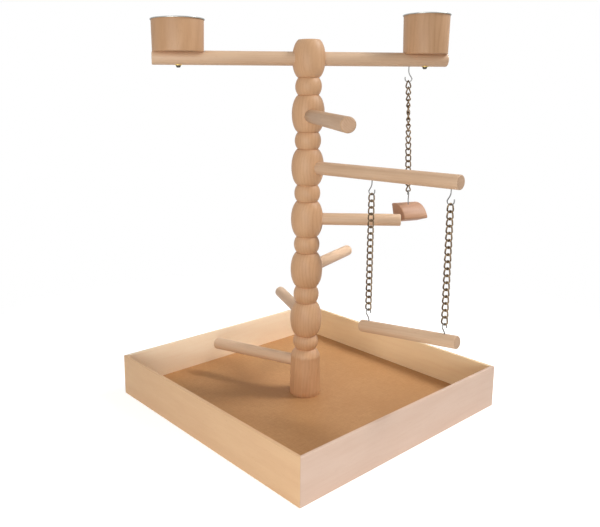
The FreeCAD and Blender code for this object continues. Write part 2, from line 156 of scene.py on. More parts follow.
# ---- swing and toy: a neck is the wire between the wood and the hook's crown ----
SWING_HOOK_PLACES = {"inner": 119.6, "outer": 241.0}
SWING_NECK = 19.7
SWING_LINKS = {"inner": 18, "outer": 17}
BAR_NECKS = {"inner": 17.5, "outer": 13.9}
TOY_PLACE = 151.5
TOY_NECK = 22.2
TOY_HOOK_AZIMUTH = CROSSBAR_AZIMUTH - 28
TOY_LINKS = 18
TOY_LINK_TURN = 11.5
TOY_LEAN = 2.15
TOY_LEAN_AXIS = -135
TOY_BLOCK_NECK = 21.6
TOY_BLOCK_AZIMUTH = -17.9
TOY_BLOCK_ROLL = 16
TOY_BLOCK_SLOPE = -2.2
TOY_BLOCK_OVERHANG = 1.5
TOY_BLOCK_RADIUS = 29.5
TOY_BLOCK_LENGTH = 42.5
TOY_BLOCK_INSET = 9.5
TOY_BLOCK_EDGE = 1.9


def metres(x, y, z):
    return Vector((x, y, z)) * MM


def at_azimuth(azimuth, reach, height):
    angle = math.radians(azimuth)
    return Vector((reach * math.cos(angle), reach * math.sin(angle), height))


def spin(azimuth):
    return Matrix.Rotation(math.radians(azimuth), 4, "Z")


def upturned():
    return Matrix.Rotation(math.pi, 4, "X")


# ======== meshes ========


class Shape:
    """Points in millimetres and faces, in a piece's own frame, where Z is the way the grain runs."""

    def __init__(self):
        self.points = []
        self.faces = []

    def add(self, points, faces):
        base = len(self.points)
        self.points.extend(Vector(p) for p in points)
        self.faces.extend([base + i for i in face] for face in faces)
        return self

    def join(self, other, matrix=Matrix.Identity(4)):
        return self.add([matrix @ p for p in other.points], other.faces)

    def mesh(self, name):
        mesh = bpy.data.meshes.new(name)
        mesh.from_pydata([tuple(p) for p in self.points], [], self.faces)
        mesh.validate()
        return mesh


def arc(centre, radius, start, end, steps, squash=1.0):
    """Points on an arc in the (radius, height) plane; squash scales its height."""
    points = []
    for i in range(steps + 1):
        angle = math.radians(start + (end - start) * i / steps)
        x, y = radius * math.cos(angle), radius * math.sin(angle)
        points.append((centre[0] + x, centre[1] + y * squash))
    return points


def rounded(corners, steps=4):
    """An open outline with its corners rounded; each corner is (x, y) or (x, y, rounding)."""
    points = []
    for i, corner in enumerate(corners):
        here = Vector(corner[:2])
        radius = corner[2] if len(corner) > 2 else 0
        if not radius or i in (0, len(corners) - 1):
            points.append(tuple(here))
            continue
        into = (Vector(corners[i - 1][:2]) - here).normalized()
        out = (Vector(corners[i + 1][:2]) - here).normalized()
        half_angle = into.angle(out) / 2
        setback = radius / math.tan(half_angle)
        centre = here + (into + out).normalized() * radius / math.sin(half_angle)
        first = here + into * setback - centre
        last = here + out * setback - centre
        for step in range(steps + 1):
            spoke = first.slerp(last, step / steps).normalized() * first.length
            points.append(tuple(centre + spoke))
    return points


def lathe(outline, segments, radius_at=None):
    """A shape turned round Z from (radius, height) points; ends with radius 0 close to a point.

    radius_at(radius, height, angle) may change the radius by angle.
    """
    shape = Shape()
    rows = []
    for radius, height in outline:
        if radius < 1e-6:
            rows.append([len(shape.points)])
            shape.points.append(Vector((0, 0, height)))
            continue
        row = []
        for i in range(segments):
            angle = 2 * math.pi * i / segments
            r = radius_at(radius, height, angle) if radius_at else radius
            row.append(len(shape.points))
            shape.points.append(Vector((r * math.cos(angle), r * math.sin(angle), height)))
        rows.append(row)
    for low, high in zip(rows, rows[1:]):
        for i in range(segments):
            k = (i + 1) % segments
            if len(low) == 1:
                shape.faces.append([low[0], high[k], high[i]])
            elif len(high) == 1:
                shape.faces.append([low[i], low[k], high[0]])
            else:
                shape.faces.append([low[i], low[k], high[k], high[i]])
    return shape


def tube(path, radius, sides, closed=False):
    """A round wire along a path of points, with closed ends unless the path is closed."""
    count = len(path)
    shape = Shape()
    tangents = []
    for i in range(count):
        before = path[i - 1] if closed or i > 0 else path[i]
        after = path[(i + 1) % count] if closed or i < count - 1 else path[i]
        tangents.append((after - before).normalized())
    normal = tangents[0].orthogonal().normalized()
    normals = [normal]
    for i in range(1, count):
        normal = tangents[i - 1].rotation_difference(tangents[i]) @ normal
        normals.append((normal - tangents[i] * normal.dot(tangents[i])).normalized())
    slip = 0.0
    if closed:
        back = tangents[-1].rotation_difference(tangents[0]) @ normals[-1]
        slip = math.atan2(normals[0].cross(back).dot(tangents[0]), normals[0].dot(back))
    for i in range(count):
        side = tangents[i].cross(normals[i])
        for j in range(sides):
            angle = 2 * math.pi * j / sides - slip * i / count
            outward = normals[i] * math.cos(angle) + side * math.sin(angle)
            shape.points.append(path[i] + outward * radius)
    for i in range(count if closed else count - 1):
        low, high = i * sides, (i + 1) % count * sides
        for j in range(sides):
            k = (j + 1) % sides
            shape.faces.append([low + j, low + k, high + k, high + j])
    if not closed:
        shape.faces.append(list(range(sides))[::-1])
        shape.faces.append([(count - 1) * sides + j for j in range(sides)])
    return shape


def box(low, high):
    """An upright box between two opposite corners."""
    (x0, y0, z0), (x1, y1, z1) = low, high
    corners = [(x, y, z) for z in (z0, z1) for x, y in ((x0, y0), (x1, y0), (x1, y1), (x0, y1))]
    faces = [(3, 2, 1, 0), (4, 5, 6, 7), (0, 1, 5, 4), (1, 2, 6, 5), (2, 3, 7, 6), (3, 0, 4, 7)]
    return Shape().add(corners, faces)


def rod(radius, start, end, edge_start, edge_end, segments=64):
    """A round bar along Z whose two end edges are rounded by the given amounts."""
    outline = [(0, start), (radius, start, edge_start), (radius, end, edge_end), (0, end)]
    return lathe(rounded(outline, 5), segments)


def cut(mesh, cutter):
    """The mesh with the cutter's volume taken away."""
    body = bpy.data.objects.new("body", mesh)
    tool = bpy.data.objects.new("tool", cutter)
    for item in (body, tool):
        bpy.context.scene.collection.objects.link(item)
    modifier = body.modifiers.new("cut", "BOOLEAN")
    modifier.operation = "DIFFERENCE"
    modifier.solver = "EXACT"
    modifier.object = tool
    bpy.context.view_layer.update()
    result = bpy.data.meshes.new_from_object(body.evaluated_get(bpy.context.evaluated_depsgraph_get()))
    for item in (body, tool):
        bpy.data.objects.remove(item)
    return result


random_numbers = random.Random(4)
END_GRAIN_LIMIT = 0.75


def grain_offset(spread):
    """Where in the log a piece was cut from, so that no two pieces show the same grain."""
    angle = random_numbers.uniform(0, 2 * math.pi)
    away = random_numbers.uniform(0.5, 1) * spread
    return Vector((away * math.cos(angle), away * math.sin(angle), random_numbers.uniform(-900, 900)))


# log is how far from the log's middle a piece is cut; end_material goes on faces across the grain
Finish = namedtuple("Finish", "material slot end_material log", defaults=(None, 60))


def piece(name, shape, place, finish, body, node, sharp=35):
    """One finished piece: a shape or mesh in millimetres, put in its place and given its finish.

    Edges that turn by more than sharp stay sharp.
    """
    mesh = shape.mesh(name) if isinstance(shape, Shape) else shape
    mesh.name = name
    mesh.materials.clear()
    mesh.materials.append(finish.material)
    if finish.end_material:
        mesh.materials.append(finish.end_material)
    offset = grain_offset(finish.log)
    grain = mesh.attributes.new("grain", "FLOAT_VECTOR", "POINT")
    grain.data.foreach_set("vector", [c for v in mesh.vertices for c in (v.co + offset)])
    for polygon in mesh.polygons:
        polygon.use_smooth = True
        across_grain = abs(polygon.normal.z) > END_GRAIN_LIMIT
        polygon.material_index = int(bool(finish.end_material) and across_grain)
    mesh.set_sharp_from_angle(angle=math.radians(sharp))
    mesh.transform(Matrix.Scale(MM, 4) @ place)
    obj = bpy.data.objects.new(name, mesh)
    bpy.context.scene.collection.objects.link(obj)
    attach(obj, body)
    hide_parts(node)


# ======== materials ========

FLECK_STRENGTH = 0.35
WOOD_ROUGHNESS = (0.44, 0.58)


def srgb(red, green, blue):
    """A colour given as it looks on screen, 0 to 255."""
    linear = []
    for value in (red, green, blue):
        c = value / 255
        linear.append(c / 12.92 if c <= 0.04045 else ((c + 0.055) / 1.055) ** 2.4)
    return (*linear, 1)


class Surface:
    """A procedural material; its methods add nodes and return their main outputs."""

    def __init__(self, name, **shader):
        self.material = bpy.data.materials.new(name)
        self.material.use_nodes = True
        self.nodes = self.material.node_tree.nodes
        self.shader = self.nodes["Principled BSDF"]
        for socket, value in shader.items():
            self.shader.inputs[socket.replace("_", " ")].default_value = value

    def set(self, target, value):
        if isinstance(value, bpy.types.NodeSocket):
            self.material.node_tree.links.new(value, target)
        else:
            target.default_value = value

    def node(self, kind, inputs=(), **settings):
        node = self.nodes.new(kind)
        for setting, value in settings.items():
            setattr(node, setting, value)
        for key, value in dict(inputs).items():
            self.set(node.inputs[key], value)
        return node

    def math(self, operation, *values):
        return self.node("ShaderNodeMath", enumerate(values), operation=operation).outputs[0]

    def vector(self, operation, *values):
        return self.node("ShaderNodeVectorMath", enumerate(values), operation=operation).outputs[0]

    def grain(self):
        """A piece's own coordinates in millimetres, with Z along the grain."""
        return self.node("ShaderNodeAttribute", attribute_name="grain").outputs["Vector"]

    def noise(self, place, scale, detail=3.0, roughness=0.55, distortion=0.0):
        """Noise from 0 to 1; scale is in features per millimetre along X, Y and Z."""
        stretched = self.vector("MULTIPLY", place, scale)
        values = {"Vector": stretched, "Scale": 1.0, "Detail": detail, "Roughness": roughness}
        values["Distortion"] = distortion
        return self.node("ShaderNodeTexNoise", values).outputs[0]

    def remap(self, value, low, high, to_low=0.0, to_high=1.0, smooth=True):
        kind = "SMOOTHSTEP" if smooth else "LINEAR"
        values = {"Value": value, "From Min": low, "From Max": high}
        values.update({"To Min": to_low, "To Max": to_high})
        return self.node("ShaderNodeMapRange", values, interpolation_type=kind).outputs[0]

    def blend(self, factor, first, second):
        node = self.node("ShaderNodeMix", data_type="RGBA", blend_type="MIX")
        self.set(node.inputs[0], factor)
        self.set(node.inputs[6], first)
        self.set(node.inputs[7], second)
        return node.outputs[2]

    def bump(self, height, strength, distance):
        values = {"Height": height, "Strength": strength, "Distance": distance * MM}
        return self.node("ShaderNodeBump", values).outputs[0]

    def finish(self, **values):
        for socket, value in values.items():
            self.set(self.shader.inputs[socket.replace("_", " ")], value)
        return self.material


def wood(name, pale, deep, ray, ring_width, ring_contrast, wander=5.0):
    """Bare sanded wood as a solid texture: growth rings, fibres, ray flecks and slow colour changes.

    The colours are those of early wood, late wood and the flecks. Rings are ring_width apart, and
    wander is how far they stray from a circle, both in millimetres.
    """
    s = Surface(name, Specular_IOR_Level=0.5)
    grain = s.grain()
    drift = s.math("MULTIPLY", s.noise(grain, (0.03, 0.03, 0.006), 3.0), wander * 2)
    flat = s.vector("MULTIPLY", grain, (1, 1, 0))
    from_pith = s.node("ShaderNodeVectorMath", {0: flat}, operation="LENGTH").outputs["Value"]
    phase = s.math("MULTIPLY", s.math("ADD", from_pith, drift), 2 * math.pi / ring_width)
    rings = s.math("MULTIPLY_ADD", s.math("SINE", phase), 0.5, 0.5)
    rings = s.math("POWER", rings, 2.2)
    uneven = s.remap(s.noise(grain, (0.05, 0.05, 0.01), 2.0), 0.3, 0.7, 0.25, 1.0)
    rings = s.math("MULTIPLY", s.math("MULTIPLY", rings, uneven), ring_contrast)
    fibres = s.noise(grain, (1.6, 1.6, 0.035), 5.0, 0.65)
    slow = s.noise(grain, (0.035, 0.035, 0.009), 3.0)
    tone = s.math("ADD", rings, s.remap(fibres, 0.3, 0.75, 0.0, 0.3, smooth=False))
    tone = s.math("ADD", tone, s.remap(slow, 0.3, 0.7, -0.05, 0.35))
    colour = s.blend(s.math("MINIMUM", s.math("MAXIMUM", tone, 0.0), 1.0), pale, deep)
    flecks = s.remap(s.noise(grain, (1.1, 1.1, 0.16), 2.0, 0.5), 0.64, 0.74)
    colour = s.blend(s.math("MULTIPLY", flecks, FLECK_STRENGTH), colour, ray)
    height = s.math("ADD", s.math("MULTIPLY", fibres, 0.7), s.math("MULTIPLY", rings, 0.5))
    rough = s.remap(fibres, 0.3, 0.7, *WOOD_ROUGHNESS, smooth=False)
    return s.finish(Base_Color=colour, Roughness=rough, Normal=s.bump(height, 0.35, 0.12))


def fibre_board(name):
    """Brown pressed board: fine fibres in all directions and slow blotches."""
    s = Surface(name, Specular_IOR_Level=0.3)
    place = s.grain()
    fine = s.noise(place, (0.9, 0.9, 0.9), 6.0, 0.7)
    fibres = s.noise(place, (0.5, 0.08, 0.5), 5.0, 0.7, 0.6)
    crossing = s.noise(place, (0.08, 0.5, 0.5), 5.0, 0.7, 0.6)
    blotches = s.noise(place, (0.012, 0.012, 0.012), 3.0)
    tone = s.math("MULTIPLY", s.math("ADD", s.math("ADD", fibres, crossing), fine), 1 / 3)
    colour = s.blend(s.remap(tone, 0.38, 0.62), srgb(197, 150, 102), srgb(179, 131, 85))
    colour = s.blend(s.remap(blotches, 0.35, 0.7, 0.0, 0.5), colour, srgb(181, 131, 83))
    rough = s.remap(fine, 0.3, 0.7, 0.5, 0.68, smooth=False)
    return s.finish(Base_Color=colour, Roughness=rough, Normal=s.bump(tone, 0.3, 0.1))


def metal(name, colour, dark, roughness, grit=1.5, stretch=(1, 1, 1), tarnish=0.4):
    """Plated or drawn metal with fine wear, duller and darker in blotches."""
    s = Surface(name, Metallic=1.0)
    place = s.vector("MULTIPLY", s.grain(), stretch)
    fine = s.noise(place, (grit, grit, grit), 5.0, 0.6)
    blotches = s.noise(place, (0.15, 0.15, 0.15), 3.0)
    stain = s.math("MULTIPLY", s.remap(blotches, 0.4, 0.7), tarnish)
    shade = s.blend(stain, colour, dark)
    shade = s.blend(s.remap(fine, 0.3, 0.7, 0.0, 0.3), shade, dark)
    rough = s.remap(fine, 0.3, 0.7, roughness - 0.05, roughness + 0.1)
    rough = s.math("ADD", rough, s.math("MULTIPLY", stain, 0.15))
    return s.finish(Base_Color=shade, Roughness=rough, Normal=s.bump(fine, 0.15, 0.05))


PERCH_WOOD = wood(
    "perch_wood",
    srgb(224, 190, 157),
    srgb(204, 165, 130),
    srgb(186, 146, 111),
    ring_width=3.2,
    ring_contrast=0.25,
)
# The perch wood again, darker for the front perch: painted shade.
PERCH_WOOD_PAINTED_SHADE = wood(
    "perch_wood_painted_shade",
    srgb(206, 170, 134),
    srgb(184, 144, 110),
    srgb(168, 126, 94),
    ring_width=3.2,
    ring_contrast=0.25,
)
PERCH_END = wood(
    "perch_end_grain",
    srgb(214, 178, 146),
    srgb(186, 146, 113),
    srgb(170, 127, 97),
    ring_width=2.6,
    ring_contrast=0.5,
)
POST_WOOD = wood(
    "post_wood",
    srgb(219, 175, 133),
    srgb(193, 143, 101),
    srgb(174, 123, 87),
    ring_width=4.2,
    ring_contrast=0.3,
    wander=9,
)
POST_END = wood(
    "post_end_grain",
    srgb(202, 154, 114),
    srgb(172, 121, 83),
    srgb(155, 104, 72),
    ring_width=3.4,
    ring_contrast=0.5,
)
CUP_WOOD = wood(
    "cup_wood",
    srgb(208, 164, 124),
    srgb(182, 137, 96),
    srgb(164, 119, 82),
    ring_width=8,
    ring_contrast=0.45,
    wander=10,
)
CUP_END = wood(
    "cup_end_grain",
    srgb(199, 156, 116),
    srgb(170, 125, 86),
    srgb(156, 112, 76),
    ring_width=2.8,
    ring_contrast=0.5,
)
TOY_WOOD = wood(
    "toy_wood",
    srgb(186, 140, 106),
    srgb(162, 113, 81),
    srgb(144, 96, 67),
    ring_width=3.6,
    ring_contrast=0.3,
)
# One wood in four copies, one per wall: besides each board's own tone, each copy is lighter or darker by
# painted light and shade for the side that wall faces.
TRAY_WOODS_PAINTED_LIGHT = {
    "wall_front_left": wood(
        "tray_wood_tan_painted_light",
        srgb(230, 190, 146),
        srgb(219, 174, 131),
        srgb(206, 159, 116),
        ring_width=9,
        ring_contrast=0.2,
        wander=18,
    ),
    "wall_front_right": wood(
        "tray_wood_pink_painted_light",
        srgb(232, 203, 183),
        srgb(222, 188, 165),
        srgb(207, 172, 150),
        ring_width=9,
        ring_contrast=0.2,
        wander=18,
    ),
    "wall_back_left": wood(
        "tray_wood_pale_painted_light",
        srgb(253, 235, 207),
        srgb(246, 220, 187),
        srgb(233, 202, 169),
        ring_width=9,
        ring_contrast=0.2,
        wander=18,
    ),
    "wall_back_right": wood(
        "tray_wood_deep_painted_light",
        srgb(255, 229, 186),
        srgb(244, 211, 166),
        srgb(229, 191, 144),
        ring_width=9,
        ring_contrast=0.2,
        wander=18,
    ),
}
FLOOR_BOARD = fibre_board("floor_fibre_board")
CHAIN_STEEL = metal("chain_steel", srgb(140, 119, 94), srgb(74, 57, 43), 0.34, tarnish=0.6)
HOOK_STEEL = metal("hook_steel", srgb(135, 134, 132), srgb(86, 84, 83), 0.3)
BOWL_STEEL = metal(
    "bowl_steel",
    srgb(176, 178, 174),
    srgb(128, 130, 126),
    0.26,
    grit=0.5,
    stretch=(0.1, 0.1, 6),
    tarnish=0.1,
)
SCREW_STEEL = metal("screw_steel", srgb(92, 88, 82), srgb(44, 40, 36), 0.35)
WASHER_BRASS = metal("washer_brass", srgb(238, 212, 132), srgb(190, 156, 84), 0.3)

FLOOR = Finish(FLOOR_BOARD, "floor_board", None, 300)
POST = Finish(POST_WOOD, "post_wood", POST_END, 30)
PERCH = Finish(PERCH_WOOD, "perch_wood", PERCH_END, 26)
FRONT_PERCH_PAINTED_SHADE = Finish(PERCH_WOOD_PAINTED_SHADE, "perch_wood", PERCH_END, 26)
CUP = Finish(CUP_WOOD, "cup_wood", CUP_END, 45)
TOY = Finish(TOY_WOOD, "toy_wood", None, 20)
CHAIN = Finish(CHAIN_STEEL, "chain_steel")
HOOK = Finish(HOOK_STEEL, "hook_wire")
BOWL = Finish(BOWL_STEEL, "bowl_steel")
SCREW = Finish(SCREW_STEEL, "screw_steel")
WASHER = Finish(WASHER_BRASS, "washer_brass")


# ======== tray ========


def wall_shape():
    """One mitred board. Its outer face is at X = 0, it runs along Z, and Y is up."""
    half = TRAY_SIDE / 2
    edge, foot = WALL_EDGE, WALL_FOOT_EDGE
    section = rounded(
        [
            (WALL_THICKNESS / 2, 0),
            (0, 0, foot),
            (0, WALL_HEIGHT, edge),
            (WALL_THICKNESS, WALL_HEIGHT, edge),
            (WALL_THICKNESS, 0, foot),
            (WALL_THICKNESS / 2, 0),
        ]
    )[:-1]
    shape = Shape()
    count = len(section)
    for end in (-1, 1):
        shape.points.extend(Vector((x, y, end * (half - x - MITRE_GAP))) for x, y in section)
    for i in range(count):
        k = (i + 1) % count
        shape.faces.append([i, k, count + k, count + i])
    shape.faces.append(list(range(count))[::-1])
    shape.faces.append([count + i for i in range(count)])
    return shape


def build_tray():
    for node, azimuth in WALL_FACINGS.items():
        outward = at_azimuth(azimuth, 1, 0)
        place = Matrix((-outward, UP, (-outward).cross(UP))).transposed().to_4x4()
        place.translation = outward * TRAY_SIDE / 2
        # each wall takes its own copy of the wood, lit or shaded by painted light
        finish = Finish(TRAY_WOODS_PAINTED_LIGHT[node], "tray_wood", None, 200)
        piece(node + "_board", wall_shape(), place, finish, "stand", node)
    low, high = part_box("floor_board")
    half = (high.x - low.x) / 2 / MM
    board = box((-half, -half, 0), (half, half, FLOOR_THICKNESS))
    mesh = cut(board.mesh("floor"), lathe(POST_SCREW_HOLE, SMALL_SEGMENTS).mesh("hole"))
    piece("floor_board_panel", mesh, Matrix(), FLOOR, "stand", "floor_board")


# ======== post ========


def turned_outline():
    """The post's outline above its base: a bead and a barrel, over and over."""
    half_long = BARREL_HEIGHT / 2 / BARREL_FULLNESS
    half_short = (BARREL_RADIUS - NECK_RADIUS) / (1 - math.sqrt(1 - BARREL_FULLNESS**2))
    cut_off = math.degrees(math.asin(BARREL_FULLNESS))
    bead_bulge = BEAD_RADIUS - NECK_RADIUS
    bead_arc_radius = (bead_bulge**2 + (BEAD_HEIGHT / 2) ** 2) / (2 * bead_bulge)
    bead_cut = math.degrees(math.asin(BEAD_HEIGHT / 2 / bead_arc_radius))
    points = []
    foot = FLOOR_THICKNESS + BASE_HEIGHT
    for number in range(REPEATS):
        height = BEAD_HEIGHT if number else FIRST_BEAD_HEIGHT
        centre = (BEAD_RADIUS - bead_arc_radius, foot + height / 2)
        points += arc(centre, bead_arc_radius, -bead_cut, bead_cut, 12, height / BEAD_HEIGHT)
        foot += height
        centre = (BARREL_RADIUS - half_short, foot + BARREL_HEIGHT / 2)
        points += arc(centre, half_short, -cut_off, cut_off, 26, half_long / half_short)[1:]
        foot += BARREL_HEIGHT
        points.pop()
    points += [(NECK_RADIUS + 0.4, foot - 0.15), (NECK_RADIUS - 0.6, foot)]
    return points


def base_outline():
    """The turned outline of the base: straight sides, and a rounded shoulder above them."""
    foot = FLOOR_THICKNESS
    top = foot + BASE_HEIGHT
    shoulder_foot = top - BASE_SHOULDER_DROP
    wide = BASE_SHOULDER_RADIUS + BASE_SCALLOP
    straight = [(BASE_FOOT_RADIUS + BASE_SCALLOP, foot + BASE_SHOULDER_DROP * i / 4) for i in range(5)]
    straight.append((BASE_FOOT_RADIUS + BASE_SCALLOP, shoulder_foot - 6))
    straight.append((wide + 0.6, shoulder_foot - 0.5))
    start = Vector((wide, shoulder_foot))
    middle = Vector((wide - BASE_SHOULDER_BULGE, top - BASE_SHOULDER_DROP / 2))
    end = Vector((NECK_RADIUS, top))
    curve = []
    steps = 14
    for i in range(steps + 1):
        t = i / steps
        through_middle = middle * 4 * t * (1 - t)
        curve.append(tuple(start * (1 - t) * (1 - 2 * t) + through_middle + end * t * (2 * t - 1)))
    return straight + curve


def faceted(radius, height, angle):
    """The base's radius where a twelve-sided block, slightly tapered, cuts into the turned outline."""
    shoulder_foot = FLOOR_THICKNESS + BASE_HEIGHT - BASE_SHOULDER_DROP
    if height > FLOOR_THICKNESS + BASE_HEIGHT:
        return radius
    levels = (FLOOR_THICKNESS, FLOOR_THICKNESS + BASE_EDGE, shoulder_foot)
    radii = (BASE_FOOT_RADIUS - BASE_EDGE, BASE_FOOT_RADIUS, BASE_SHOULDER_RADIUS)
    corner = float(np.interp(height, levels, radii))
    side = 2 * math.pi / BASE_SIDES
    from_middle = (angle - math.radians(BASE_TURN)) % side - side / 2
    flat = corner * math.cos(side / 2) / math.cos(from_middle)
    gap = (radius - flat) / FACET_BLEND
    if abs(gap) > FACET_BLEND_REACH:
        return min(radius, flat)
    return -FACET_BLEND * math.log(math.exp(-radius / FACET_BLEND) + math.exp(-flat / FACET_BLEND))


def post_sockets():
    """Cutters for the perches' sockets and for the crossbar's hole."""
    tools = Shape()
    for node, (azimuth, slope) in PERCHES.items():
        line = Bar(node, azimuth, slope)
        socket = rod(line.radius + SOCKET_GAP, line.start - SOCKET_END_GAP, PAST_POST, 0, 0)
        tools.join(socket, line.place)
    line = Bar("crossbar", CROSSBAR_AZIMUTH)
    tools.join(rod(line.radius + SOCKET_GAP, -PAST_POST, PAST_POST, 0, 0), line.place)
    return tools


def build_post():
    upper = turned_outline()
    lower = base_outline()
    outline = [(0, FLOOR_THICKNESS)] + lower + upper[1:] + [(0, upper[-1][1])]
    body = lathe(outline, 12 * BASE_SIDES, faceted)
    mesh = cut(body.mesh("post"), post_sockets().mesh("sockets"))
    piece("post_turned", mesh, Matrix(), POST, "stand", "post", sharp=25)
    recess = cross_recess(POST_SCREW_HEAD, 2.4)
    screw = cut(lathe(POST_SCREW, SMALL_SEGMENTS).mesh("screw"), recess.mesh("recess"))
    piece("post_screw_countersunk", screw, Matrix(), SCREW, "stand", "post_screw")


# ======== bars ========


class Bar:
    """A round bar of the frame, read from its node: its middle line, its ends and its radius."""

    def __init__(self, node, azimuth, slope=0.0):
        side = at_azimuth(azimuth + 90, 1, 0)
        level = at_azimuth(azimuth, 1, 0)
        tilt = math.radians(slope)
        along = level * math.cos(tilt) + UP * math.sin(tilt)
        over = along.cross(side)
        points = [v.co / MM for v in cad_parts[node].data.vertices]
        spans = [[p.dot(way) for p in points] for way in (side, over, along)]
        lows, highs = [min(s) for s in spans], [max(s) for s in spans]
        self.radius = (highs[0] - lows[0]) / 2
        self.start, self.end = lows[2], highs[2]
        centre = side * (highs[0] + lows[0]) / 2 + over * (highs[1] + lows[1]) / 2
        self.place = Matrix((side, over, along)).transposed().to_4x4()
        self.place.translation = centre


def build_perches():
    for node, (azimuth, slope) in PERCHES.items():
        line = Bar(node, azimuth, slope)
        shape = rod(line.radius, line.start, line.end, BURIED_EDGE, SOFT_ENDS.get(node, DOWEL_EDGE))
        # the front perch takes the darker copy of the perch wood, painted shade
        finish = FRONT_PERCH_PAINTED_SHADE if node == "perch_front" else PERCH
        piece(node + "_dowel", shape, line.place, finish, "stand", node)


def cross_recess(surface, size):
    """The cutter for the cross in a screw's head, centred on Z; it goes up from the head's surface."""
    below = (surface - 0.5, size + 0.3, RECESS_ARM[0])
    deepest = (surface + RECESS_DEPTH, size * 0.45, RECESS_ARM[1])
    corners = []
    for z, reach, half in (below, deepest):
        for turn in range(4):
            quarter = Matrix.Rotation(math.radians(90 * turn), 3, "Z")
            corners += [quarter @ Vector((reach, side * half, z)) for side in (-1, 1)]
            corners.append(quarter @ Vector((half, half, z)))
    count = len(corners) // 2
    faces = [[i, (i + 1) % count, count + (i + 1) % count, count + i] for i in range(count)]
    faces += [list(range(count))[::-1], list(range(count, 2 * count))]
    return Shape().add(corners, faces)


def build_crossbar():
    line = Bar("crossbar", CROSSBAR_AZIMUTH)
    mesh = rod(line.radius, line.start, line.end, DOWEL_EDGE, DOWEL_EDGE).mesh("crossbar")
    tools = Shape()
    for side, place in CUP_PLACES.items():
        reach = max(CUP_SIZES[side][:2]) / 2
        inward = 1 if side == "left" else -1
        low, high = sorted((place + inward * reach, place - inward * 2 * reach))
        seat = line.radius - CUP_SEAT_DEPTH
        clear = 2 * line.radius
        tools.join(box((-clear, seat, low), (clear, clear, high)))
        spot = rod(SPOT_FACE_RADIUS, -line.radius - 1, -line.radius + SPOT_FACE_DEPTH, 0, 0, 32)
        tools.join(spot, Matrix.Translation((0, 0, place)) @ Matrix.Rotation(math.radians(-90), 4, "X"))
    mesh = cut(mesh, tools.mesh("seats"))
    piece("crossbar_dowel", mesh, line.place, PERCH, "stand", "crossbar")
    return line


# ======== cups, bowls ========


def cup_outline(side):
    bottom, top, height = CUP_SIZES[side]
    foot, rim = bottom / 2, top / 2
    return rounded(
        [
            (0, 0),
            (foot, 0, CUP_EDGE),
            (rim, height, CUP_EDGE),
            (rim - CUP_WALL, height, CUP_EDGE / 2),
            (rim - CUP_WALL, CUP_BOTTOM, 2),
            (0, CUP_BOTTOM),
        ]
    )


def bowl_outline(side):
    """The bowl's sheet, drawn up its outside, over the rolled rim and down its inside."""
    _, top, height = CUP_SIZES[side]
    rim = top / 2 + BOWL_OVERHANG
    side_top = top / 2 - CUP_WALL - BOWL_SIDE_GAP
    side_foot = side_top - BOWL_TAPER
    foot = CUP_BOTTOM + BOWL_FLOOR_GAP
    sheet = BOWL_SHEET
    return rounded(
        [
            (0, foot),
            (side_foot, foot, BOWL_FOOT_ROUND),
            (side_top, height, 0.3),
            (rim - 0.5, height, 0.2),
            (rim - 0.5, height - BOWL_TURN_DOWN, 0.15),
            (rim, height - BOWL_TURN_DOWN, 0.2),
            (rim, height + sheet, sheet * 0.9),
            (side_top - sheet, height + sheet, BOWL_INNER_ROUND),
            (side_foot - sheet, foot + sheet, BOWL_FOOT_ROUND - sheet),
            (0, foot + sheet),
        ],
        6,
    )


def cup_screw_shape():
    """A round-headed screw, point up, whose washer's upper face is at Z = 0."""
    shank, top = CUP_SCREW_RADIUS, -WASHER_THICKNESS
    outline = [
        (0, CUP_SCREW_HEAD),
        (2.6, CUP_SCREW_HEAD, 1.5),
        (3.8, top, 0.3),
        (shank, top),
        (shank, 21),
        (0.4, CUP_SCREW_POINT),
        (0, CUP_SCREW_POINT),
    ]
    return lathe(rounded(outline), 40)


def washer_shape():
    foot, bore, rim = -WASHER_THICKNESS, WASHER_BORE, WASHER_RADIUS
    middle = (bore + rim) / 2
    outline = [(middle, foot), (rim, foot, 0.25), (rim, 0, 0.1), (bore, 0), (bore, foot)]
    outline.append((middle, foot))
    return lathe(rounded(outline), SMALL_SEGMENTS)


def build_cups(crossbar):
    screws, recesses, washers = Shape(), Shape(), Shape()
    seat_height = crossbar.place.translation.z + crossbar.radius - CUP_SEAT_DEPTH
    washer_top = crossbar.place.translation.z - crossbar.radius + SPOT_FACE_DEPTH
    for side, reach in CUP_PLACES.items():
        place = Matrix.Translation(at_azimuth(CROSSBAR_AZIMUTH, reach, seat_height))
        cup, bowl = lathe(cup_outline(side), CUP_SEGMENTS), lathe(bowl_outline(side), CUP_SEGMENTS)
        piece("cup_%s_turned" % side, cup, place, CUP, "stand", "cup_" + side)
        piece("bowl_%s_steel" % side, bowl, place, BOWL, side + "_bowl", "bowl_" + side)
        spot = Matrix.Translation(at_azimuth(CROSSBAR_AZIMUTH, reach, washer_top))
        screws.join(cup_screw_shape(), spot)
        recesses.join(cross_recess(CUP_SCREW_HEAD, 1.9), spot)
        washers.join(washer_shape(), spot)
    mesh = cut(screws.mesh("cup_screws"), recesses.mesh("recess"))
    piece("cup_screws_round_head", mesh, Matrix(), SCREW, "stand", "cup_screws")
    piece("cup_washers_brass", washers, Matrix(), WASHER, "stand", "cup_washers")


# ======== hooks and chains ========


def link_shape():
    """One oval curb link, twisted a quarter turn; the crown of its upper end is at the origin."""
    bend = (LINK_WIDTH - LINK_WIRE) / 2
    half = LINK_MIDDLE_LENGTH / 2
    straight = half - bend
    steps = 14
    path = []
    for end in (1, -1):
        for step in range(steps + 1):
            angle = math.pi * step / steps
            across, height = end * bend * math.cos(angle), end * (straight + bend * math.sin(angle))
            twist = LINK_TWIST / 2 * height / half
            path.append(at_azimuth(twist, across, height - half))
    return tube(path, LINK_WIRE / 2, 12, closed=True)


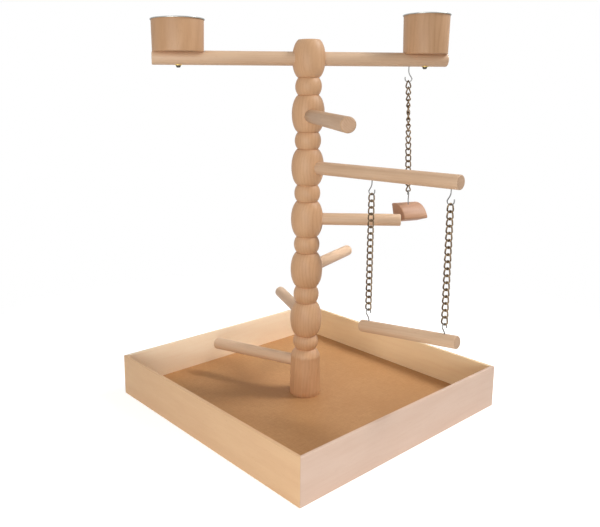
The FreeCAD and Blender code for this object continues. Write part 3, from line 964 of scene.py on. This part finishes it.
def chain_shape(links, hook_azimuth, turn_per_link=0.0):
    link = link_shape()
    facing = hook_azimuth + 90 - LINK_TWIST / 2
    shape = Shape()
    for number in range(links):
        drop = Matrix.Translation((0, 0, LINK_TO_HOOK - number * LINK_PITCH))
        shape.join(link, drop @ spin(facing + number * turn_per_link))
    return shape


def smoothed(path, corners, radius):
    """The path with the named corners rounded."""
    steps = 5
    points = []
    for i, point in enumerate(path):
        if i not in corners:
            points.append(point)
            continue
        into, out = (path[i - 1] - point), (path[i + 1] - point)
        reach = min(radius, into.length * 0.45, out.length * 0.45)
        first, last = point + into.normalized() * reach, point + out.normalized() * reach
        for step in range(steps + 1):
            t = step / steps
            points.append(first * (1 - t) ** 2 + point * 2 * t * (1 - t) + last * t * t)
    return points


def hook_shape(neck):
    """An open wire hook that hangs from wood at Z = neck; the crown of its bend is at the origin."""
    centre = UP * HOOK_BEND
    path = [UP * (neck + HOOK_BITE), UP * (centre.z + HOOK_SLANT)]
    steps = 16
    for step in range(steps + 1):
        angle = math.pi * step / steps
        path.append(centre + Vector((math.cos(angle), 0, -math.sin(angle))) * HOOK_BEND)
    path.append(path[-1] + UP * HOOK_TIP)
    return tube(smoothed(path, (1, 2), 3.5), HOOK_WIRE / 2, 14)


def chain_drop(links):
    return (links - 1) * LINK_PITCH + LINK_MIDDLE_LENGTH - 2 * LINK_TO_HOOK


def build_swing():
    perch = Bar("perch_swing", SWING_AZIMUTH)
    crown = perch.place.translation.z - perch.radius - SWING_NECK
    bar_crowns = {}
    for which, reach in SWING_HOOK_PLACES.items():
        top = Matrix.Translation(at_azimuth(SWING_AZIMUTH, reach, crown)) @ spin(SWING_AZIMUTH)
        node = "swing_hook_" + which
        piece(node + "_wire", hook_shape(SWING_NECK), top @ spin(180), HOOK, "stand", node)
        node = "swing_chain_" + which
        links = chain_shape(SWING_LINKS[which], 0)
        piece(node + "_links", links, top, CHAIN, "swing_chains", node)
        bar_crowns[which] = crown - chain_drop(SWING_LINKS[which])
    apart = SWING_HOOK_PLACES["outer"] - SWING_HOOK_PLACES["inner"]
    rise = bar_crowns["outer"] - bar_crowns["inner"]
    length = math.hypot(apart, rise)
    neck_slope = math.asin((BAR_NECKS["outer"] - BAR_NECKS["inner"]) / length)
    slope = math.degrees(math.atan2(rise, apart) - neck_slope)
    bar = Bar("swing_bar", SWING_AZIMUTH, slope)
    shape = rod(bar.radius, bar.start, bar.end, DOWEL_EDGE, DOWEL_EDGE)
    piece("swing_bar_dowel", shape, bar.place, PERCH, "swing_seat", "swing_bar")
    for which, reach in SWING_HOOK_PLACES.items():
        crown_at = Matrix.Translation(at_azimuth(SWING_AZIMUTH, reach, bar_crowns[which]))
        lean = Matrix.Rotation(math.radians(-slope), 4, "Y")
        place = crown_at @ spin(SWING_AZIMUTH) @ lean @ spin(-90) @ upturned()
        node = "swing_bar_hook_" + which
        piece(node + "_wire", hook_shape(BAR_NECKS[which]), place, HOOK, "swing_seat", node)


def toy_block_shape():
    """A quarter of a round bar along Z with rounded edges; its flat sides meet at the origin."""
    radius, half = TOY_BLOCK_RADIUS, TOY_BLOCK_LENGTH / 2
    section = [(0, 0)] + arc((0, 0), radius, 0, 90, 24)
    shape = Shape()
    count = len(section)
    shape.points = [Vector((x, y, z)) for z in (-half, half) for x, y in section]
    shape.faces = [[i, (i + 1) % count, count + (i + 1) % count, count + i] for i in range(count)]
    shape.faces += [list(range(count))[::-1], [count + i for i in range(count)]]
    mesh = shape.mesh("block")
    work = bmesh.new()
    work.from_mesh(mesh)
    edges = [e for e in work.edges if e.calc_face_angle() > math.radians(20)]
    bmesh.ops.bevel(
        work,
        geom=edges,
        offset=TOY_BLOCK_EDGE,
        segments=4,
        profile=0.5,
        affect="EDGES",
        clamp_overlap=True,
    )
    work.to_mesh(mesh)
    work.free()
    return mesh


def build_toy(crossbar):
    crown = crossbar.place.translation.z - crossbar.radius - TOY_NECK
    top = Matrix.Translation(at_azimuth(CROSSBAR_AZIMUTH, TOY_PLACE, crown))
    hook = top @ spin(TOY_HOOK_AZIMUTH)
    piece("toy_hook_wire", hook_shape(TOY_NECK), hook, HOOK, "stand", "toy_hook")
    top = top @ Matrix.Rotation(math.radians(TOY_LEAN), 4, at_azimuth(TOY_LEAN_AXIS, 1, 0))
    links = chain_shape(TOY_LINKS, TOY_HOOK_AZIMUTH, TOY_LINK_TURN)
    piece("toy_chain_links", links, top, CHAIN, "toy_line", "toy_chain")
    block_crown = top @ Matrix.Translation((0, 0, -chain_drop(TOY_LINKS)))
    hook_azimuth = TOY_HOOK_AZIMUTH + (TOY_LINKS - 1) * TOY_LINK_TURN + 90
    hook = block_crown @ spin(hook_azimuth) @ upturned()
    piece("toy_block_hook_wire", hook_shape(TOY_BLOCK_NECK), hook, HOOK, "toy", "toy_block_hook")
    surface = math.sqrt(TOY_BLOCK_RADIUS**2 - TOY_BLOCK_INSET**2)
    # the block's own X is the stand's up, its own Y points to -Y, and its own Z lies along X
    lay = Matrix(((0, 0, 1), (0, -1, 0), (1, 0, 0))).to_4x4()
    slope = Matrix.Rotation(math.radians(-TOY_BLOCK_SLOPE), 4, "Y")
    overhang = Matrix.Translation((TOY_BLOCK_OVERHANG, 0, 0))
    roll = Matrix.Rotation(math.radians(-TOY_BLOCK_ROLL), 4, "X")
    below = Matrix.Translation((0, TOY_BLOCK_INSET, -TOY_BLOCK_NECK - surface))
    place = block_crown @ spin(TOY_BLOCK_AZIMUTH) @ below @ slope @ overhang @ roll @ lay
    piece("toy_block_quarter", toy_block_shape(), place, TOY, "toy", "toy_block")


# ======== camera, floor and light ========


CAMERA_PLACE = (-692.24, -712.40, 470.23)
CAMERA_YAW = 40.53
CAMERA_PITCH = 10.71
FOCAL_LENGTH = 40.153
FRAME_WIDTH = 600
FRAME_SHIFT = (35, -40)  # pixels

FLOOR_COLOUR = srgb(236, 235, 233)
FLOOR_GLOW = 0.6
FLOOR_FADE = (0.38, 0.85)  # metres from the post
FLOOR_REACH = 3  # metres
FLOOR_DROP = 0.0002  # metres
SKY_STRENGTH = 0.26

# name: azimuth, elevation, distance, size, power, target, spread; in degrees, metres and watts
LAMPS = {
    "key": (0, 46, 2.6, (0.5, 0.5), 27, (0, 0, 0.1), 180),
    "low_front": (-100, 4, 1.5, (0.8, 0.3), 6, (0, 0, 0.15), 180),
    "front_left": (-120, 18, 1.1, (0.4, 0.4), 2.8, (0, 0, 0.25), 180),
    "top_back": (10, 60, 1.7, (0.5, 0.5), 3.5, (0, 0, 0.15), 180),
    "tray_pool": (0, 60, 1.2, (0.2, 0.2), 0.16, (0.1, 0.1, 0), 32),
    "top_left": (150, 62, 1.8, (0.6, 0.6), 1.6, (0, 0, 0.15), 180),
}


def build_camera():
    """The photograph's view, from a camera fitted to the tray's corners and the post."""
    camera = bpy.data.cameras.new("camera")
    camera.sensor_width = 36
    camera.lens = FOCAL_LENGTH
    camera.shift_x = FRAME_SHIFT[0] / FRAME_WIDTH
    camera.shift_y = FRAME_SHIFT[1] / FRAME_WIDTH
    camera.clip_start, camera.clip_end = 0.05, 50
    obj = bpy.data.objects.new("camera", camera)
    obj.location = metres(*CAMERA_PLACE)
    yaw, pitch = math.radians(CAMERA_YAW), math.radians(CAMERA_PITCH)
    level = math.cos(pitch)
    forward = Vector((math.sin(yaw) * level, math.cos(yaw) * level, -math.sin(pitch)))
    obj.rotation_euler = forward.to_track_quat("-Z", "Y").to_euler()
    bpy.context.scene.collection.objects.link(obj)
    bpy.context.scene.camera = obj


def build_floor():
    """A pale floor that keeps the stand's shadow and fades into the white background."""
    s = Surface("studio_floor", Roughness=0.9, Specular_IOR_Level=0.1)
    rays = s.node("ShaderNodeLightPath").outputs
    seen = s.math("MAXIMUM", rays["Is Camera Ray"], rays["Is Glossy Ray"])
    seen = s.math("MAXIMUM", seen, rays["Is Transmission Ray"])
    glow = s.math("MULTIPLY", seen, FLOOR_GLOW)
    s.finish(Base_Color=FLOOR_COLOUR, Emission_Color=(1, 1, 1, 1), Emission_Strength=glow)
    place = s.node("ShaderNodeTexCoord").outputs["Object"]
    away = s.node("ShaderNodeVectorMath", {0: place}, operation="LENGTH").outputs["Value"]
    clear = s.node("ShaderNodeBsdfTransparent").outputs[0]
    fade = s.remap(away, *FLOOR_FADE)
    mixed = s.node("ShaderNodeMixShader", {0: fade, 1: s.shader.outputs[0], 2: clear})
    s.set(s.nodes["Material Output"].inputs["Surface"], mixed.outputs[0])
    mesh = bpy.data.meshes.new("studio_floor")
    far = FLOOR_REACH
    corners = [(-far, -far, 0), (far, -far, 0), (far, far, 0), (-far, far, 0)]
    mesh.from_pydata(corners, [], [(0, 1, 2, 3)])
    mesh.materials.append(s.material)
    floor = bpy.data.objects.new("studio_floor", mesh)
    floor.location.z = -FLOOR_DROP
    bpy.context.scene.collection.objects.link(floor)


def area_light(name, azimuth, elevation, distance, size, power, target, spread):
    """A soft lamp; azimuth is counted from the camera's right hand towards the back."""
    lamp = bpy.data.lights.new(name, "AREA")
    lamp.shape = "RECTANGLE"
    lamp.size, lamp.size_y = size
    lamp.energy = power
    lamp.spread = math.radians(spread)
    obj = bpy.data.objects.new(name, lamp)
    rise = math.radians(elevation)
    offset = at_azimuth(azimuth - CAMERA_YAW, distance * math.cos(rise), distance * math.sin(rise))
    obj.location = Vector(target) + offset
    obj.rotation_euler = offset.to_track_quat("Z", "Y").to_euler()
    bpy.context.scene.collection.objects.link(obj)


def build_light():
    """The lamps, and a dim sky that is plain white where it is seen or mirrored."""
    for name, settings in LAMPS.items():
        area_light(name, *settings)
    world = bpy.data.worlds.new("studio")
    world.use_nodes = True
    bpy.context.scene.world = world
    nodes, links = world.node_tree.nodes, world.node_tree.links
    rays = nodes.new("ShaderNodeLightPath").outputs
    seen = rays["Is Camera Ray"]
    for kind in ("Is Glossy Ray", "Is Transmission Ray"):
        either = nodes.new("ShaderNodeMath")
        either.operation = "MAXIMUM"
        links.new(seen, either.inputs[0])
        links.new(rays[kind], either.inputs[1])
        seen = either.outputs[0]
    strength = nodes.new("ShaderNodeMapRange")
    strength.inputs["To Min"].default_value = SKY_STRENGTH
    strength.inputs["To Max"].default_value = 1.0
    links.new(seen, strength.inputs["Value"])
    links.new(strength.outputs[0], nodes["Background"].inputs["Strength"])
    nodes["Background"].inputs["Color"].default_value = (1, 1, 1, 1)
    bpy.context.scene.view_settings.view_transform = "Standard"


build_tray()
build_post()
build_perches()
crossbar_line = build_crossbar()
build_cups(crossbar_line)
build_swing()
build_toy(crossbar_line)
build_camera()
build_floor()
build_light()
